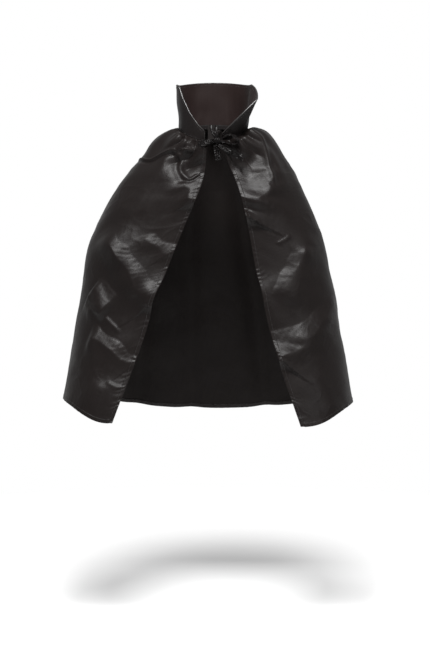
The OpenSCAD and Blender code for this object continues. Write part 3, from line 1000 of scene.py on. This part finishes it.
# ------------------------------------------------------------------ neck binding and size label
qs = np.linspace(-COLLAR_END, COLLAR_END, 260)
half_height, inset = 5.2, 3.0
HALF_THICK = 0.55
section = [(HALF_THICK * math.cos(w), half_height * math.sin(w)) for w in turns(20)]
base, out = cape(qs, 0), outward(qs)
sag = 0.35 * ripple(qs * HALF_NECK, np.zeros_like(qs), 24, 41, 8)
binding = []
for b, o, w in zip(base, out, sag):
    binding.append([b + (-inset + u + 0.25 * w) * o + np.array([0, 0, v]) for u, v in section])
binding = np.array(binding)
batch = Batch()
batch.add(*tube_from_rings(binding[:, ::-1]))
neck_tape = dress(batch.make("neck_tape", [binding_cloth]), "shoulders", "binding", "neck_binding")
batch = Batch()
for v in (3.6, -3.6):
    line = base + (-inset - 0.52) * out + np.array([0, 0, v])
    seam(batch, line, -out, pitch=3.2)
neck_tape_stitches = dress(batch.make("neck_tape_stitches", [thread]), "shoulders", "binding")

# a blank woven label with a slight curl, hanging in the place of the CAD label
w, h = 24.0, 36.0
u, v = np.meshgrid(np.linspace(-w / 2, w / 2, 25), np.linspace(0, 1, 34))
label_low, label_high = (Vector(c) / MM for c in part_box("size_label"))
y = (label_low.y + label_high.y) / 2 + 0.15 * np.cos(math.pi * u / w) * v + 0.35 * np.sin(2.6 * v) * v
z = label_high.z - v * (label_high.z - label_low.z)
grid = np.stack([-u, y, z], -1)
ns = grid_normals(grid)
uv = np.stack([u, v * h], -1) * MM
label = closed_sheet("size_label_cloth", grid, ns, 0.22, -0.22, [label_cloth], uv=uv)
dress(label, "shoulders", "label", "size_label")

# ------------------------------------------------------------------ ribbon ties and bow
KNOT = np.array([9.0, -95.0, -10.0])
RIBBON_THICK = 0.42


def smooth_path(points, count):
    points = np.asarray(points, float)
    return rows_at(points, np.linspace(0, len(points) - 1, count))


def ribbon(name, path, faces_way, widths, count=90, seed=0, crumple=0.6, pleats=0.5):
    """Crumpled, pleated satin ribbon along a path. faces_way points across it at each path point."""
    line = smooth_path(path, count)
    way = unit(smooth_path(faces_way, count))
    width = smooth_path(np.asarray(widths, float)[:, None], count)[:, 0]
    along_it = unit(np.gradient(line, axis=0))
    way = unit(way - np.einsum("ij,ij->i", way, along_it)[:, None] * along_it)
    up = np.cross(along_it, way)
    run = lengths(line[None], 1)[0]
    cols = 17
    u = np.linspace(-0.5, 0.5, cols)
    tight = 1 - width / max(width.max(), 1e-6)
    grid = line[:, None] + (width[:, None] * u)[..., None] * way[:, None]
    x, y = np.meshgrid(u * 14, run)
    pleating = np.cos(2 * math.pi * (x / 4.6 + 0.25 * ripple(x * 0, y, 25, seed + 1, 6)))
    lift = pleats * (0.35 + 2.2 * tight[:, None]) * pleating
    lift = lift + crumple * ripple(x, y, 13, seed + 2, 14) + 0.5 * crumple * ripple(x, y, 6, seed + 3, 14)
    curl = 0.9 * (2 * np.abs(u)[None, :]) ** 3 * ripple(x * 0, y, 30, seed + 4, 6)
    grid = grid + (lift + curl)[..., None] * up[:, None]
    normals = grid_normals(grid)
    # a woven edge slightly thicker than the ribbon
    half = RIBBON_THICK / 2 * (1 + 0.55 * (np.abs(u)[None, :] > 0.44))
    uv = np.stack([np.broadcast_to(u * 14, x.shape), y], -1) * MM
    return closed_sheet(name, grid, normals, half, -half, [ribbon_cloth], uv=uv), run[-1]


def tie_ribbon(name, body, path, faces_way, widths, nodes=(), **how):
    obj, length = ribbon(name, path, faces_way, widths, **how)
    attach(obj, body)
    if nodes:
        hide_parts(*nodes)
    return obj


def from_knot(*points):
    return [KNOT + np.array(p, float) for p in points]


for side, sign in SIDES.items():
    start = cape(sign * 0.985, 2) + np.array([0, -6.5, -3])
    end = KNOT + np.array([sign * 6.5, 2.2, 0])
    along_tie = np.linspace(-0.15, 1.15, 7)
    path = [start + t * (end - start) + np.array([0, -4 * math.sin(math.pi * t), 0]) for t in along_tie]
    tie_ribbon(
        f"{side}_tie_ribbon", "shoulders", path, [(0, 0, -1)] * 7, [9, 9.5, 9, 8, 7, 6.5, 6],
        [f"{side}_tie_end"],
        count=40, seed=50 + sign, crumple=0.35, pleats=0.35,
    )

# the bow's left loop stands open to the front, the right one lies closed against the cloth
tie_ribbon(
    "left_bow_ribbon", "left_loop",
    from_knot(
        (5.4, -2.6, 1), (10, -4.4, 4.5), (17, -6.6, 10), (26, -8.5, 14), (34, -9, 12), (42, -9, 6.5),
        (47.5, -9.5, 0), (44, -10, -5.5), (34, -9.5, -7), (22, -8, -4.8), (11, -5, -2.2), (5.4, -2.6, -1),
    ),
    [
        (0, 1, 0.5), (0, 1, 0.3), (0, 1, 0.15), (0, 1, 0.25), (0.1, 1, 0.45), (0.3, 0.9, 0.3),
        (0.2, 1, 0.05), (-0.1, 1, 0.15), (0, 1, 0.35), (0, 1, 0.4), (0, 1, -0.2), (0, 1, -0.5),
    ],
    [6, 7, 10, 12.5, 13.5, 13.5, 13.5, 13.5, 12.5, 10, 7, 6], ["left_bow_loop"], count=150, seed=60,
    crumple=0.5, pleats=0.35,
)
tie_ribbon(
    "right_bow_ribbon", "right_loop",
    from_knot(
        (-5.4, -2.0, 0), (-10, -4.5, -1), (-19, -9.5, -3), (-29, -11, -6), (-37, -8.5, -8), (-41, -6, -8.5),
        (-37, -4.2, -7), (-27, -4, -5), (-16, -3.8, -3), (-9, -2.8, -1), (-5.4, -1.6, 0),
    ),
    [
        (0, 0.1, 1), (0, 0.2, 1), (0, 0.3, 0.95), (0, 0.2, 1), (0, 0.1, 1), (0.1, 0, 1), (0, -0.1, 1),
        (0, -0.2, 1), (0, -0.2, 1), (0, 0, 1), (0, 0, 1),
    ],
    [6, 8, 11.5, 13, 13, 13, 13, 12.5, 11, 8, 6], ["right_bow_loop"], count=120, seed=70, crumple=0.8,
    pleats=0.5,
)
tie_ribbon(
    "left_ribbon_tail", "left_tail",
    from_knot(
        (3.0, -4.4, -9.5), (7, -5.2, -13), (17, -8, -19), (29, -11.5, -25), (41, -14, -31), (52, -17, -36),
        (59, -18.5, -40.5),
    ),
    [
        (0.3, 0.9, 0.3), (0.45, 0.6, 0.6), (0.45, 0.35, 0.8), (0.4, -0.3, 0.8), (0.45, -0.5, 0.7),
        (0.5, 0.1, 0.85), (0.45, 0.5, 0.7),
    ],
    [6, 8, 10, 11.5, 13, 13.5, 13.5], ["left_bow_tail"], count=90, seed=80, crumple=0.6, pleats=0.5,
)
tie_ribbon(
    "right_ribbon_tail", "right_tail",
    from_knot(
        (-3.6, -4.4, -9.5), (-3.2, -5.6, -14), (-1.5, -8.5, -20), (0.5, -7.5, -26), (2.5, -11, -32),
        (3.2, -13.5, -38), (4.5, -15.5, -44),
    ),
    [
        (1, 0.3, 0.1), (1, 0.1, 0.2), (0.95, -0.3, 0.2), (1, 0.2, 0.2), (0.95, 0.35, 0.2), (1, -0.2, 0.3),
        (0.9, 0.3, 0.3),
    ],
    [7, 9, 12, 13.5, 14, 14, 13.5], ["right_bow_tail"], count=90, seed=90, crumple=1.25, pleats=0.8,
)
# two short strands of drawn ribbon that stand up from the knot
for name, path in {
    "drawn_strand_outer": [(7, -99, -5), (4.5, -100, 0), (0, -98.5, 6), (-3.6, -94, 14), (-4.4, -90, 24)],
    "drawn_strand_inner": [(9, -98, -5), (8, -101, 1), (6.2, -100, 8), (6.4, -95, 15), (8.4, -90, 23)],
}.items():
    tie_ribbon(
        name, "shoulders", path, [(1, 0.25, 0.05)] * 5, [6, 6, 6.3, 6.3, 6.3],
        count=40, seed=100 + len(name), crumple=0.15, pleats=0.12,
    )


# Each wrap of the knot: radius, half its width, tilt, where its pleats start, and how far it is shifted
KNOT_WRAPS = ((7.9, 6.2, 0.0, 0.0, (0, 0, 0)), (8.4, 3.6, 0.32, 1.3, (-1.2, -0.3, 0.2)))


def knot():
    """Ribbon wrapped round the middle of the bow: pleats that run round it and one crossing turn."""
    batch = Batch()
    for radius, half, tilt, phase, shift in KNOT_WRAPS:
        xs = np.linspace(-1, 1, 27)
        rings = []
        for x in xs:
            ring = []
            for a in turns(72):
                dome = radius * (1 - 0.34 * abs(x) ** 2.6)
                pleat = 0.55 * math.cos(2 * math.pi * 2.1 * x + phase + 0.5 * math.sin(a + phase))
                pleat += 0.2 * math.cos(2 * math.pi * 5.3 * x + 2 * a)
                r = dome + pleat * (1 - 0.4 * abs(x))
                flare = 1 + 0.08 * math.cos(2 * a)
                ring.append((x * half * flare, r * 0.95 * math.cos(a), r * math.sin(a)))
            rings.append(ring)
        rings = np.array(rings)
        c, s = math.cos(tilt), math.sin(tilt)
        turned = rings.copy()
        turned[..., 0] = c * rings[..., 0] - s * rings[..., 2]
        turned[..., 2] = s * rings[..., 0] + c * rings[..., 2]
        batch.add(*tube_from_rings(turned + KNOT + np.array(shift, float)))
    flat = np.concatenate(batch.points)[:, [0, 2]] * MM
    return dress(batch.make("bow_knot_ribbon", [ribbon_cloth], uv=flat), "shoulders", "ribbon", "bow_knot")


knot_piece = knot()

# ------------------------------------------------------------------ cut sizes of the collar layers, in metres
for side in SIDES:
    for layer in ("outer", "stiffener", "facing"):
        cut = (0.235, 0.103) if layer == "stiffener" else (0.245, 0.112)
        piece = collar_pieces[side, layer]

# ------------------------------------------------------------------ floor, light and camera
def stage_material(name, colour):
    m, nt, shader = nodes_of(name)
    place = nt.nodes.new("ShaderNodeTexCoord").outputs["Object"]
    soft = noise(nt, place, 2.0, 2, 0.5)
    nt.links.new(ramp(nt, soft, tuple(0.985 * c for c in colour), colour), shader.inputs["Base Color"])
    shader.inputs["Roughness"].default_value = 0.9
    shader.inputs["Specular IOR Level"].default_value = 0.1
    return m


FLOOR_Z = -1.11
mesh = bpy.data.meshes.new("floor")
FLOOR_RADIUS = 1.7
rim = [(FLOOR_RADIUS * math.cos(w), FLOOR_RADIUS * math.sin(w), FLOOR_Z) for w in turns(96)]
mesh.from_pydata(rim, [], [tuple(range(len(rim)))])
mesh.materials.append(stage_material("floor", (0.99, 0.99, 0.99)))
floor = bpy.data.objects.new("floor", mesh)
bpy.context.scene.collection.objects.link(floor)

scene = bpy.context.scene
scene.view_settings.view_transform = "Standard"
scene.view_settings.look = "None"
scene.view_settings.exposure = 0
scene.view_settings.gamma = 1
world = bpy.data.worlds.new("studio")
scene.world = world
world.use_nodes = True
# a white backdrop, in a room whose walls are darker than it
sky = world.node_tree
backdrop = sky.nodes["Background"]
backdrop.inputs["Color"].default_value = (1, 1, 1, 1)
seen = sky.nodes.new("ShaderNodeLightPath").outputs["Is Camera Ray"]
WALLS, BACKDROP = 0.45, 1.0
sky.links.new(spread(sky, seen, WALLS, BACKDROP), backdrop.inputs["Strength"])


def area_light(name, place, target, size, power):
    data = bpy.data.lights.new(name, "AREA")
    data.shape = "RECTANGLE"
    data.size, data.size_y = size
    data.energy = power
    obj = bpy.data.objects.new(name, data)
    obj.location = place
    obj.rotation_euler = (Vector(target) - Vector(place)).to_track_quat("-Z", "Y").to_euler()
    scene.collection.objects.link(obj)
    return obj


area_light("key", (-0.15, -1.5, 2.1), (0, -0.05, -0.25), (1.3, 0.9), 170)
area_light("fill", (1.6, -2.2, 0.6), (0, 0, -0.3), (1.0, 1.6), 14)

camera = bpy.data.cameras.new("camera")
camera.lens = 87.35
camera.sensor_width = 36
eye = bpy.data.objects.new("camera", camera)
eye.location = (0.0046, -3.6, -0.16)
eye.rotation_euler = (math.radians(90 - 4.18), 0, 0)
scene.collection.objects.link(eye)
scene.camera = eye
